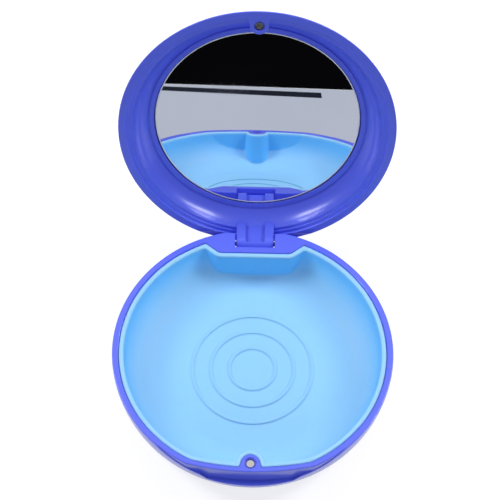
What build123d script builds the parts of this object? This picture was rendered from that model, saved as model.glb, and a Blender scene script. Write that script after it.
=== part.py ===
from build123d import *
from math import cos, radians, sin, tan
import os

# Millimetres. Origin at the centre of the underside, front towards -Y, up is +Z.

# Base shell
rim_radius = 45.0
base_height = 17.5
wall_break_inset = 1.0
wall_break_height = 9.5
foot_inset = 10.0
base_floor = 2.2
rim_width = 2.0
bowl_draft = 8.0
bowl_corner = 14.1
rim_rounding = 0.3

# Front finger scoop, which runs out on each side as a shallow grip step
scoop_inset = 2.6
scoop_curve = 85.0
scoop_ledge_height = 11.5
scoop_wall_thickness = 1.6
step_depth = 0.3
ledge_half_length = 13.2
step_knee = 15.4
step_knee_drop = 3.8
step_bend_drop = 2.4
step_half_length = 29.5

# Soft liner
seat_gap = 0.1
liner_wall = 1.5
liner_floor = 1.8
boss_lining = 1.45
lip_drop = 0.2
lip_rounding = 0.35
hump_rounding = 1.5
ring_radii = (20.0, 14.0, 8.0)
ring_width = 0.9
ring_height = 0.25

# Magnets and their bosses
magnet_radius = 1.5
magnet_length = 2.0
magnet_bevel = 0.3
magnet_inset = 5.5
magnet_gap = 0.05
magnet_recess = 0.45
mouth_radius = 1.88
base_boss_radius = 2.95
base_neck_flare = 1.1
lid_boss_radius = 2.85
lid_neck_flare = 0.35
boss_neck_length = 2.2

# Hinge
pin_inset = 2.9
pin_height = 13.4
pin_radius = 0.75
pin_fit = 0.02
running_clearance = 0.05
pin_blind_end = 11.5
pin_open_end = 13.6
knuckle_radius = 3.3
leg_half_width = 6.2
leg_side_clearance = 0.4
trough_clearance = 0.35
open_angle = 110.0
leg_top = 7.0
leg_shoulder = 1.0
leg_rounding = 3.0
recess_half_width = 3.2
recess_depth = 1.4
recess_top_depth = 0.7
recess_bar = 0.7

# Hinge bay, the solid block at the back of the bowl
bay_front_inset = 8.75
bay_half_width = 11.75
bay_root_half_width = 16.4
bay_root_inset = 5.2
bay_rounding = 2.0
back_flat_inset = 1.2

# Lid shell, heights counted from its rim plane
parting_gap = 0.2
lid_inset = 0.25
lid_edge = 0.6
lid_edge_rounding = 1.2
shoulder_inset = 8.35
shoulder_height = 10.0
shoulder_rounding = 12.0
crown_height = 11.4
lid_rim_width = 2.45
lid_rim_rounding = 0.2
ledge_width = 1.1
ledge_slope = 0.1
first_step = 0.8
second_step = 0.5
dish_middle_width = 1.5
dish_middle_height = 4.65
dish_end_inset = 9.25
dish_end_height = 7.3
groove_width = 0.4
bezel_width = 1.5
bezel_proud = 0.4

# Mirror and the adhesive disc behind it
mirror_gap = 0.1
mirror_face_height = 7.2
mirror_thickness = 1.0
mirror_bevel = 0.35
tape_thickness = 0.3
tape_margin = 1.5

overrun = 2.0
reach = 60.0
lid_plane = base_height + parting_gap
seat_height = mirror_face_height + mirror_thickness + tape_thickness
trough_radius = knuckle_radius + trough_clearance
magnet_offset = rim_radius - magnet_inset
pin_back = rim_radius - pin_inset
back_flat = rim_radius - back_flat_inset
lid_radius = rim_radius - lid_inset
dish_end_radius = lid_radius - dish_end_inset
bezel_outer_radius = dish_end_radius - groove_width
bezel_radius = bezel_outer_radius - bezel_width


def turned(profile):
    return revolve(Plane.XZ * profile, Axis.Z)


def across(profile, half_width):
    return extrude(Plane.YZ * profile, amount=half_width, both=True)


def at_corner(profile, x, y, radius):
    nearest = profile.vertices().sort_by_distance((x, y, 0))[0]
    return fillet(nearest, radius)


def block(low, high):
    size = [b - a for a, b in zip(low, high)]
    middle = [(a + b) / 2 for a, b in zip(low, high)]
    return Pos(*middle) * Box(*size)


def pin_shape(radius, left, right):
    length = left + right
    middle = (right - left) / 2
    return Pos(middle, pin_back, pin_height) * Rot(0, 90, 0) * Cylinder(radius, length)


def opened(shape):
    turn = Pos(0, pin_back, pin_height) * Rot(-open_angle, 0, 0)
    return turn * Pos(0, -pin_back, -pin_height) * shape


def base_body():
    wall_break_radius = rim_radius - wall_break_inset
    foot_radius = rim_radius - foot_inset
    wall = TangentArc((rim_radius, base_height), (wall_break_radius, wall_break_height), tangent=(0, -1))
    corner = TangentArc((wall_break_radius, wall_break_height), (foot_radius, 0), tangent=wall % 1)
    rest = Polyline((foot_radius, 0), (0, 0), (0, base_height), (rim_radius, base_height))
    return turned(make_face([wall, corner, *rest.edges()]))


def bay_outline(growth):
    bay_front = rim_radius - bay_front_inset
    bay_root = rim_radius - bay_root_inset
    outline = Polygon(
        (-bay_root_half_width, bay_root),
        (-bay_half_width, bay_front),
        (bay_half_width, bay_front),
        (bay_root_half_width, bay_root),
        (bay_root_half_width, reach),
        (-bay_root_half_width, reach),
        align=None,
    )
    front = outline.vertices().group_by(Axis.Y)[0]
    outline = fillet(front, bay_rounding)
    return offset(outline, growth) if growth else outline


def boss_outline(radius, flare, growth):
    narrow = radius + growth
    wide = narrow + flare
    neck_end = magnet_offset + boss_neck_length
    neck = Polyline(
        (narrow, -magnet_offset),
        (wide, -neck_end),
        (wide, -reach),
        (-wide, -reach),
        (-wide, -neck_end),
        (-narrow, -magnet_offset),
    )
    nose = CenterArc((0, -magnet_offset), narrow, 0, 180)
    return make_face([*neck.edges(), nose])


def front_curve(inset):
    centre = scoop_curve - rim_radius + scoop_inset
    return Pos(0, centre, 0) * Cylinder(scoop_curve - inset, 2 * reach)


def bowl(growth, boss_growth, floor, ceiling):
    slope = tan(radians(bowl_draft))
    top = rim_radius - rim_width - growth
    low_radius = top - (base_height - floor) * slope
    high_radius = top + (ceiling - base_height) * slope
    profile = Polygon((0, floor), (low_radius, floor), (high_radius, ceiling), (0, ceiling), align=None)
    hollow = turned(at_corner(profile, low_radius, floor, bowl_corner - growth))
    hollow &= front_curve(scoop_wall_thickness + growth)
    hollow -= extrude(bay_outline(growth), amount=ceiling + overrun)
    hollow -= extrude(boss_outline(base_boss_radius, base_neck_flare, boss_growth), amount=ceiling + overrun)
    return hollow


def front_scoop():
    low = base_height - step_knee_drop
    middle = (step_half_length + step_knee) / 2
    bend = base_height - step_bend_drop
    edges = [
        ThreePointArc((step_knee, low), (middle, bend), (step_half_length, base_height)),
        Line((step_half_length, base_height), (-step_half_length, base_height)),
        ThreePointArc((-step_half_length, base_height), (-middle, bend), (-step_knee, low)),
        *Polyline(
            (-step_knee, low),
            (-ledge_half_length, scoop_ledge_height),
            (ledge_half_length, scoop_ledge_height),
            (step_knee, low),
        ).edges(),
    ]
    front = extrude(Plane.XZ * make_face(edges), amount=reach)
    core = Pos(0, step_depth, 0) * base_body()
    return front - (core & front_curve(0))


def hinge_notch():
    side = open_angle
    bottom = 180 - side
    tangent = (
        pin_back + trough_radius * cos(radians(side)),
        pin_height - trough_radius * sin(radians(side)),
    )
    run = 2 * trough_radius + overrun
    far = (tangent[0] + run * sin(radians(side)), tangent[1] + run * cos(radians(side)))
    high = base_height + overrun
    front = pin_back - trough_radius
    edges = [
        CenterArc((pin_back, pin_height), trough_radius, 180, bottom),
        *Polyline(tangent, far, (far[0], high), (front, high), (front, pin_height)).edges(),
    ]
    return across(make_face(edges), leg_half_width + leg_side_clearance)


def magnet_hole(face_height):
    pocket = magnet_recess + magnet_length
    mouth = Cylinder(mouth_radius, 2 * magnet_recess)
    bore = Cylinder(magnet_radius + magnet_gap, 2 * pocket)
    return Pos(0, -magnet_offset, face_height) * (mouth + bore)


def magnet(face_height, direction):
    depth = magnet_recess + magnet_length / 2
    disc = Cylinder(magnet_radius, magnet_length)
    disc = chamfer(disc.edges().filter_by(GeomType.CIRCLE), magnet_bevel)
    return Pos(0, -magnet_offset, face_height + direction * depth) * disc


def rim_face(shape):
    return shape.faces().sort_by(Axis.Z)[-1]


def base_shell():
    shell = base_body()
    shell -= front_scoop()
    shell -= block((-reach, back_flat, -overrun), (reach, reach, base_height + overrun))
    shell -= bowl(0, 0, base_floor, base_height + overrun)
    shell -= hinge_notch()
    shell = fillet(rim_face(shell).edges(), rim_rounding)
    shell -= pin_shape(pin_radius + pin_fit, pin_blind_end, reach)
    shell -= magnet_hole(base_height)
    return shell


def silicone_liner():
    lip = base_height - lip_drop
    floor = base_floor + liner_floor
    skin = bowl(seat_gap, seat_gap, base_floor, lip)
    skin = fillet(rim_face(skin).edges(), lip_rounding)
    inside = bowl(seat_gap + liner_wall, seat_gap + boss_lining, floor, lip + overrun)
    back_curves = inside.edges().filter_by(GeomType.BSPLINE).filter_by_position(Axis.Y, 0, reach)
    skin -= fillet(back_curves.sort_by(Axis.Z)[:3], hump_rounding)
    skin = fillet(rim_face(skin).inner_wires()[0].edges(), lip_rounding)
    for radius in ring_radii:
        outline = Circle(radius) - Circle(radius - ring_width)
        skin += Pos(0, 0, floor) * extrude(outline, amount=ring_height)
    return skin


def lid_block():
    shoulder_radius = lid_radius - shoulder_inset
    profile = Polygon(
        (0, 0),
        (lid_radius, 0),
        (lid_radius, lid_edge),
        (shoulder_radius, shoulder_height),
        (0, crown_height),
        align=None,
    )
    profile = at_corner(profile, lid_radius, lid_edge, lid_edge_rounding)
    profile = at_corner(profile, shoulder_radius, shoulder_height, shoulder_rounding)
    return turned(profile)


def lid_dish():
    bezel_top = mirror_face_height - bezel_proud
    rim_inner = lid_radius - lid_rim_width
    first_ledge = rim_inner - ledge_width
    second_ledge = first_ledge - ledge_width
    wall_start = first_step + second_step + 2 * ledge_slope
    rim = Polyline(
        (0, seat_height),
        (0, -overrun),
        (rim_inner, -overrun),
        (rim_inner, first_step),
        (first_ledge, first_step + ledge_slope),
        (first_ledge, first_step + second_step + ledge_slope),
        (second_ledge, wall_start),
    )
    wall = ThreePointArc(
        (second_ledge, wall_start),
        (second_ledge - dish_middle_width, dish_middle_height),
        (dish_end_radius, dish_end_height),
    )
    seat = Polyline(
        (dish_end_radius, dish_end_height),
        (bezel_outer_radius, dish_end_height),
        (bezel_outer_radius, bezel_top),
        (bezel_radius, bezel_top),
        (bezel_radius, seat_height),
        (0, seat_height),
    )
    return turned(make_face([*rim.edges(), wall, *seat.edges()]))


def hinge_leg():
    axis_height = pin_height - lid_plane
    front = pin_back - knuckle_radius
    back = pin_back + knuckle_radius
    edges = [
        CenterArc((pin_back, axis_height), knuckle_radius, 180, 180),
        *Polyline(
            (back, axis_height),
            (back, leg_shoulder),
            (front, leg_top),
            (front, axis_height),
        ).edges(),
    ]
    profile = at_corner(make_face(edges), back, leg_shoulder, leg_rounding)
    leg = across(profile, leg_half_width)
    floor = front + recess_depth
    knuckle_end = axis_height - (knuckle_radius**2 - (pin_back - floor) ** 2) ** 0.5
    low = knuckle_end + recess_bar
    recess = Polygon(
        (front - overrun, low),
        (floor, low),
        (front + recess_top_depth, leg_top),
        (front - overrun, leg_top),
        align=None,
    )
    return leg - across(recess, recess_half_width)


def lid_shell():
    boss = extrude(boss_outline(lid_boss_radius, lid_neck_flare, 0), amount=crown_height)
    shell = lid_block() - (lid_dish() - boss)
    shell = fillet(shell.edges().group_by(Axis.Z)[0], lid_rim_rounding)
    corner_reach = ((back_flat - pin_back) ** 2 + (base_height - pin_height) ** 2) ** 0.5
    relief = pin_shape(corner_reach + parting_gap, reach, reach)
    shell = Pos(0, 0, lid_plane) * shell - relief
    shell += Pos(0, 0, lid_plane) * hinge_leg()
    shell -= pin_shape(pin_radius + running_clearance, reach, reach)
    shell -= magnet_hole(lid_plane)
    return opened(shell)


def mirror_glass():
    disc = Cylinder(bezel_radius - mirror_gap, mirror_thickness)
    disc = chamfer(disc.edges(), mirror_bevel)
    return opened(Pos(0, 0, lid_plane + mirror_face_height + mirror_thickness / 2) * disc)


def mirror_tape():
    disc = Cylinder(bezel_radius - tape_margin, tape_thickness)
    return opened(Pos(0, 0, lid_plane + seat_height - tape_thickness / 2) * disc)


def hinge_pin():
    return pin_shape(pin_radius, pin_blind_end - seat_gap, pin_open_end)


parts = {
    "base_shell": base_shell(),
    "silicone_liner": silicone_liner(),
    "base_magnet": magnet(base_height, -1),
    "hinge_pin": hinge_pin(),
    "lid_shell": lid_shell(),
    "mirror_glass": mirror_glass(),
    "mirror_tape": mirror_tape(),
    "lid_magnet": opened(magnet(lid_plane, 1)),
}

os.makedirs("parts", exist_ok=True)
for name, shape in parts.items():
    export_step(shape, "parts/" + name + ".step")
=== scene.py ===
import math

import bmesh
import bpy
from mathutils import Matrix, Vector


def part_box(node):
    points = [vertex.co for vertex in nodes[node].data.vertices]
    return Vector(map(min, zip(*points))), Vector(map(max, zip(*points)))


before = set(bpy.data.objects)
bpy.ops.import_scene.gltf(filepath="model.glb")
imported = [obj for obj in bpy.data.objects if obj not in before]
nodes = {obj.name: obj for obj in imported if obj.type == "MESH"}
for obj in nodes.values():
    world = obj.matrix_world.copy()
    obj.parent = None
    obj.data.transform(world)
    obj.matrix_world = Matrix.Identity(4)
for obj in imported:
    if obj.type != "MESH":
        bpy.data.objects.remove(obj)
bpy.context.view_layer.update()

# metres throughout, with the lid open and the front of the case towards -Y
print("frame loaded:", ", ".join(sorted(nodes)))


# a node output that adds Math nodes when it is used in an expression
class Wire:
    def __init__(self, graph, socket):
        self.graph = graph
        self.socket = socket

    def maths(self, operation, first, second):
        return self.graph.add("ShaderNodeMath", {"operation": operation}, [first, second])

    def __add__(self, other):
        return self.maths("ADD", self, other)

    def __sub__(self, other):
        return self.maths("SUBTRACT", self, other)

    def __rsub__(self, other):
        return self.maths("SUBTRACT", other, self)

    def __mul__(self, other):
        return self.maths("MULTIPLY", self, other)

    __radd__ = __add__
    __rmul__ = __mul__


# where the Mix node keeps its colour sockets
mixSockets = {"first": 6, "second": 7, "result": 2}


# one material and its nodes
class Graph:
    def __init__(self, name):
        self.material = bpy.data.materials.new(name)
        self.material.use_nodes = True
        self.tree = self.material.node_tree
        self.tree.nodes.clear()
        self.place = self.add("ShaderNodeTexCoord", output="Object")

    # the settings are set first, then the values or links of the sockets
    def add(self, kind, settings={}, sockets={}, output=0):
        node = self.tree.nodes.new(kind)
        for key, value in settings.items():
            setattr(node, key, value)
        pairs = sockets.items() if isinstance(sockets, dict) else enumerate(sockets)
        for key, value in pairs:
            if isinstance(value, Wire):
                self.tree.links.new(value.socket, node.inputs[key])
            else:
                node.inputs[key].default_value = value
        return Wire(self, node.outputs[output]) if len(node.outputs) else None

    def noise(self, scale, detail, at=None):
        return self.add("ShaderNodeTexNoise", {}, {
            "Vector": at or self.place, "Scale": scale, "Detail": detail})

    # turns one range into another; noise keeps mostly between 0.3 and 0.7
    def spread(self, wire, low, high, fromLow=0.3, fromHigh=0.7):
        return self.add("ShaderNodeMapRange", {}, {
            "Value": wire, "From Min": fromLow, "From Max": fromHigh, "To Min": low, "To Max": high})

    def mix(self, factor, first, second):
        colours = {"Factor": factor, mixSockets["first"]: first, mixSockets["second"]: second}
        return self.add("ShaderNodeMix", {"data_type": "RGBA"}, colours, mixSockets["result"])

    def facing(self):
        return self.add("ShaderNodeNewGeometry", output="Normal")

    def softEdges(self, radius, samples=6):
        return self.add("ShaderNodeBevel", {"samples": samples}, {"Radius": radius})

    def bump(self, height, strength, distance, edges):
        return self.add("ShaderNodeBump", {}, {
            "Height": height, "Strength": strength, "Distance": distance, "Normal": edges})

    def surface(self, **sockets):
        named = {key.replace("_", " "): value for key, value in sockets.items()}
        return self.finish(self.add("ShaderNodeBsdfPrincipled", {}, named))

    def finish(self, shader):
        self.add("ShaderNodeOutputMaterial", {}, {"Surface": shader})
        return self.material


# a screen colour, 0 to 255, as the linear one that the sockets take
def linear(r, g, b):
    def one(v):
        v = v / 255
        return v / 12.92 if v <= 0.04045 else ((v + 0.055) / 1.055) ** 2.4
    return (one(r), one(g), one(b), 1.0)


# both shells: glossy blue plastic with a fine grain
shell = {
    "colour": linear(91, 108, 245),
    "paler": linear(94, 111, 247),
    "roughness": (0.28, 0.33),
    "ior": 1.5,
    "coat": (0.32, 0.38),
    "coatRoughness": 0.12,
    "cloudScale": 28.0,
    "cloudDetail": 1.5,
    "grainScale": 2600.0,
    "grainDetail": 2.0,
    "grainStrength": 0.15,
    "grainHeight": 0.00002,
    "edgeRadius": 0.0003,
}


def shellPlastic():
    g = Graph("shellPlastic")
    cloud = g.noise(shell["cloudScale"], shell["cloudDetail"])
    grain = g.noise(shell["grainScale"], shell["grainDetail"])
    edges = g.softEdges(shell["edgeRadius"])
    return g.surface(
        Base_Color=g.mix(g.spread(cloud, 0.0, 1.0), shell["colour"], shell["paler"]),
        Roughness=g.spread(cloud, *shell["roughness"]),
        IOR=shell["ior"],
        Coat_Weight=g.spread(cloud, *shell["coat"]),
        Coat_Roughness=shell["coatRoughness"],
        Normal=g.bump(grain, shell["grainStrength"], shell["grainHeight"], edges),
    )


# the liner: matt silicone that lets some light in; its lip is painted paler as painted light, and
# its walls are painted deeper as painted shade
liner = {
    "colour": linear(148, 208, 253),
    # painted shade for the walls, taken off as the surface turns up towards the floor
    "wallShade": linear(92, 190, 253),
    "wallShadeShare": 0.8,
    "wallSlope": 0.1,
    "floorSlope": 0.7,
    # painted light: a paler colour for the top band of the lip, also used as the paler tone of the
    # cloud
    "lip": linear(158, 213, 253),
    "lipDepth": 0.0011,
    "roughness": (0.48, 0.58),
    "ior": 1.42,
    "glow": 0.25,
    "glowRadius": (0.3, 0.7, 1.0),
    "glowScale": 0.0015,
    "cloudScale": 60.0,
    "cloudDetail": 3.0,
    "cloudShare": 0.12,
    "grainScale": 1500.0,
    "grainDetail": 2.0,
    "grainStrength": 0.1,
    "grainHeight": 0.00002,
    "edgeRadius": 0.0012,
}


def linerSilicone():
    g = Graph("linerSilicone")
    top = Vector(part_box("silicone_liner")[1]).z
    height = g.add("ShaderNodeSeparateXYZ", {}, {"Vector": g.place}, output="Z")
    # painted light: the top band of the lip is painted paler, as if lit from above
    lip = g.spread(height, 0.0, 1.0, top - liner["lipDepth"], top)
    # painted shade: walls that face sideways are painted deeper than the floor, for the lower light
    # that reaches them
    facing = g.add("ShaderNodeTexCoord", output="Normal")
    slope = g.add("ShaderNodeSeparateXYZ", {}, {"Vector": facing}, output="Z")
    wallShade = g.spread(slope, liner["wallShadeShare"], 0.0, liner["wallSlope"], liner["floorSlope"])
    cloud = g.noise(liner["cloudScale"], liner["cloudDetail"])
    grain = g.noise(liner["grainScale"], liner["grainDetail"])
    edges = g.softEdges(liner["edgeRadius"])
    body = g.mix(g.spread(cloud, 0.0, liner["cloudShare"]), liner["colour"], liner["lip"])
    body = g.mix(wallShade, body, liner["wallShade"])
    return g.surface(
        Base_Color=g.mix(lip, body, liner["lip"]),
        Roughness=g.spread(cloud, *liner["roughness"]),
        IOR=liner["ior"],
        Subsurface_Weight=liner["glow"],
        Subsurface_Radius=liner["glowRadius"],
        Subsurface_Scale=liner["glowScale"],
        Normal=g.bump(grain, liner["grainStrength"], liner["grainHeight"], edges),
    )


# the mirror: silver with faint smudges, and a white ground ring just inside its bevel
mirror = {
    "silver": (0.86, 0.87, 0.88, 1.0),
    "paler": (0.9, 0.9, 0.91, 1.0),
    "roughness": (0.004, 0.02),
    "smudgeScale": 45.0,
    "smudgeDetail": 5.0,
    "ground": linear(244, 245, 246),
    "groundRoughness": 0.4,
    "groundInner": 0.0007,
    "groundOuter": 0.00037,
    "groundFade": 0.00005,
}


def mirrorGlass():
    g = Graph("mirrorGlass")
    low, high = (Vector(corner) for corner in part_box("mirror_glass"))
    rim = (high.x - low.x) / 2
    inner = rim - mirror["groundInner"]
    outer = rim - mirror["groundOuter"]
    measure = {"operation": "DISTANCE"}
    fromMiddle = g.add("ShaderNodeVectorMath", measure, [g.place, (low + high) / 2], output="Value")
    pastInner = g.spread(fromMiddle, 0.0, 1.0, inner, inner + mirror["groundFade"])
    beforeOuter = g.spread(fromMiddle, 1.0, 0.0, outer, outer + mirror["groundFade"])
    ground = pastInner * beforeOuter
    smudge = g.noise(mirror["smudgeScale"], mirror["smudgeDetail"])
    silver = g.mix(g.spread(smudge, 0.0, 1.0), mirror["silver"], mirror["paler"])
    return g.surface(
        Base_Color=g.mix(ground, silver, mirror["ground"]),
        Metallic=1.0 - ground,
        Roughness=g.spread(smudge, *mirror["roughness"]) + ground * mirror["groundRoughness"],
    )


# the adhesive disc behind the mirror
tape = {
    "colour": linear(214, 214, 210),
    "paler": linear(236, 236, 232),
    "roughness": 0.85,
    "cellScale": 1800.0,
    "cellStrength": 0.4,
    "cellHeight": 0.0001,
}


def foamTape():
    g = Graph("foamTape")
    cells = g.add("ShaderNodeTexVoronoi", {}, {"Vector": g.place, "Scale": tape["cellScale"]})
    return g.surface(
        Base_Color=g.mix(cells, tape["colour"], tape["paler"]),
        Roughness=tape["roughness"],
        Normal=g.bump(cells, tape["cellStrength"], tape["cellHeight"], g.facing()),
    )


# magnets and pin: fine lines along X, which is the length of the pin
metal = {
    "stretch": (300.0, 4000.0, 4000.0),
    "lineDetail": 3.0,
    "lineStrength": 0.08,
    "lineHeight": 0.00001,
    "spotScale": 900.0,
    "spotDetail": 3.0,
    "paler": 1.12,
}
nickelPlate = {"colour": linear(205, 203, 200), "roughness": (0.16, 0.28)}
drawnSteel = {"colour": linear(40, 41, 44), "roughness": (0.5, 0.65)}


def metalFinish(name, colour, roughness):
    g = Graph(name)
    stretched = g.add("ShaderNodeMapping", {}, {"Vector": g.place, "Scale": metal["stretch"]})
    lines = g.noise(1.0, metal["lineDetail"], at=stretched)  # the stretch sets its scale
    spots = g.noise(metal["spotScale"], metal["spotDetail"])
    paler = tuple(min(1.0, part * metal["paler"]) for part in colour[:3]) + (1.0,)
    return g.surface(
        Base_Color=g.mix(g.spread(spots, 0.0, 1.0), colour, paler),
        Metallic=1.0,
        Roughness=g.spread(lines, *roughness),
        Normal=g.bump(lines, metal["lineStrength"], metal["lineHeight"], g.facing()),
    )


plastic = shellPlastic()
nickel = metalFinish("nickelPlate", **nickelPlate)
finishes = {
    "base_shell": plastic,
    "lid_shell": plastic,
    "silicone_liner": linerSilicone(),
    "mirror_glass": mirrorGlass(),
    "mirror_tape": foamTape(),
    "base_magnet": nickel,
    "lid_magnet": nickel,
    "hinge_pin": metalFinish("drawnSteel", **drawnSteel),
}
for name, finish in finishes.items():
    mesh = nodes[name].data
    mesh.materials.clear()
    mesh.materials.append(finish)
print("materials:", len(finishes))


# the floor, and unseen cards that only reflections show: grey near the case, black
# beyond a slanted edge, and a dark line on the grey
studio = {
    "floorHalf": 3.0,
    "floorGlow": 0.75,
    "floorColour": 0.38,
    "world": 0.12,
}
cards = {
    "halfWidth": 0.4,
    "near": -0.056,
    "edge": -0.1924,
    "edgeDrop": 0.022,
    "edgeRise": 0.026,
    "far": -0.9,
    "grey": linear(187, 193, 209),
    "greyHeight": 0.0005,
    "black": linear(7, 7, 9),
    "blackHeight": 0.0006,
    "line": linear(33, 37, 48),
    "lineHeight": 0.0009,
    "lineCorners": [(-0.150, -0.196), (0.030, -0.1795), (0.030, -0.1685), (-0.150, -0.190)],
}


def plain(name, colour):
    g = Graph(name)
    return g.finish(g.add("ShaderNodeEmission", {}, {"Color": colour}))


# white where it is seen, and matt grey for the light that it sends back
def floorWhite():
    g = Graph("floorWhite")
    direct = g.add("ShaderNodeLightPath", output="Is Camera Ray")
    glossy = g.add("ShaderNodeLightPath", output="Is Glossy Ray")
    through = g.add("ShaderNodeLightPath", output="Is Transmission Ray")
    strength = (direct + glossy + through) * studio["floorGlow"]
    glow = g.add("ShaderNodeEmission", {}, {"Color": (1.0, 1.0, 1.0, 1.0), "Strength": strength})
    matt = g.add("ShaderNodeBsdfDiffuse", {}, {"Color": (studio["floorColour"],) * 3 + (1.0,)})
    return g.finish(g.add("ShaderNodeAddShader", {}, [glow, matt]))


def card(name, corners, height, material, onlyReflected=True):
    bm = bmesh.new()
    bm.faces.new([bm.verts.new((x, y, height)) for x, y in corners])
    mesh = bpy.data.meshes.new(name)
    bm.to_mesh(mesh)
    bm.free()
    mesh.materials.append(material)
    piece = bpy.data.objects.new(name, mesh)
    bpy.context.scene.collection.objects.link(piece)
    if onlyReflected:
        piece.visible_camera = False
        piece.visible_diffuse = False
        piece.visible_shadow = False


def layStage():
    half = studio["floorHalf"]
    floor = [(-half, -half), (half, -half), (half, half), (-half, half)]
    card("floor", floor, 0.0, floorWhite(), onlyReflected=False)

    wide = cards["halfWidth"]
    near = cards["near"]
    far = cards["far"]
    leftEdge = (-wide, cards["edge"] - cards["edgeDrop"])
    rightEdge = (wide, cards["edge"] + cards["edgeRise"])
    grey = [leftEdge, rightEdge, (wide, near), (-wide, near)]
    black = [leftEdge, (-wide, far), (wide, far), rightEdge]
    card("greyCard", grey, cards["greyHeight"], plain("greyCard", cards["grey"]))
    card("blackCard", black, cards["blackHeight"], plain("blackCard", cards["black"]))
    card("darkLine", cards["lineCorners"], cards["lineHeight"], plain("darkLine", cards["line"]))


layStage()

world = bpy.data.worlds.new("studio")
bpy.context.scene.world = world
world.use_nodes = True
sky = world.node_tree.nodes["Background"]
sky.inputs["Color"].default_value = (1.0, 1.0, 1.0, 1.0)
sky.inputs["Strength"].default_value = studio["world"]
print("floor, cards and world ready")

# soft lamps that all face one point; those with reflected off only fill the shadows
lampTarget = Vector((0.0, 0.02, 0.03))
lamps = {
    "keyLeft": {"at": (-0.60, 0.20, 0.64), "size": (0.24, 0.38), "power": 4.4, "reflected": True},
    "keyRight": {"at": (0.60, 0.20, 0.64), "size": (0.24, 0.38), "power": 4.4, "reflected": True},
    "sheen": {"at": (0.0, 0.55, 0.92), "size": (0.9, 0.5), "power": 1.3, "reflected": True},
    "fillFront": {"at": (0.0, -0.85, 0.42), "size": (0.7, 0.3), "power": 2.3, "reflected": False},
    "fillBack": {"at": (0.0, 0.95, 0.22), "size": (0.7, 0.3), "power": 1.2, "reflected": False},
    "fillLeft": {"at": (-0.90, 0.0, 0.35), "size": (0.3, 0.4), "power": 0.3, "reflected": False},
    "fillRight": {"at": (0.90, 0.0, 0.35), "size": (0.3, 0.4), "power": 0.3, "reflected": False},
}


def lamp(name, at, size, power, reflected):
    data = bpy.data.lights.new(name, "AREA")
    data.shape = "RECTANGLE"
    data.size, data.size_y = size
    data.energy = power
    light = bpy.data.objects.new(name, data)
    bpy.context.scene.collection.objects.link(light)
    light.location = at
    light.visible_glossy = reflected
    light.rotation_mode = "QUATERNION"
    light.rotation_quaternion = (lampTarget - Vector(at)).to_track_quat("-Z", "Y")


for name, settings in lamps.items():
    lamp(name, **settings)
print("lamps:", len(lamps))

# angles in degrees, and the focal length in pixels of an image this wide
view = {
    "target": (-0.0014, 0.03112, 0.0275),
    "distance": 0.540,
    "elevation": 58.61,
    "roll": 0.94,
    "turn": 0.29,
    "focalPixels": 1664.8,
    "imageWidth": 500,
    "sensorWidth": 36.0,
}


def aimCamera():
    data = bpy.data.cameras.new("camera")
    data.sensor_width = view["sensorWidth"]
    data.lens = view["focalPixels"] / view["imageWidth"] * view["sensorWidth"]
    camera = bpy.data.objects.new("camera", data)
    bpy.context.scene.collection.objects.link(camera)
    elevation = math.radians(view["elevation"])
    roll = math.radians(view["roll"])
    right = Vector((1, 0, 0))
    up = Vector((0, math.sin(elevation), math.cos(elevation)))
    back = Vector((0, -math.cos(elevation), math.sin(elevation)))
    tiltedRight = math.cos(roll) * right + math.sin(roll) * up
    tiltedUp = -math.sin(roll) * right + math.cos(roll) * up
    place = Matrix((tiltedRight, tiltedUp, back)).transposed().to_4x4()
    place.translation = Vector(view["target"]) + back * view["distance"]
    camera.matrix_world = Matrix.Rotation(math.radians(view["turn"]), 4, "Z") @ place
    bpy.context.scene.camera = camera


aimCamera()
bpy.context.scene.view_settings.view_transform = "Standard"
print("camera ready")
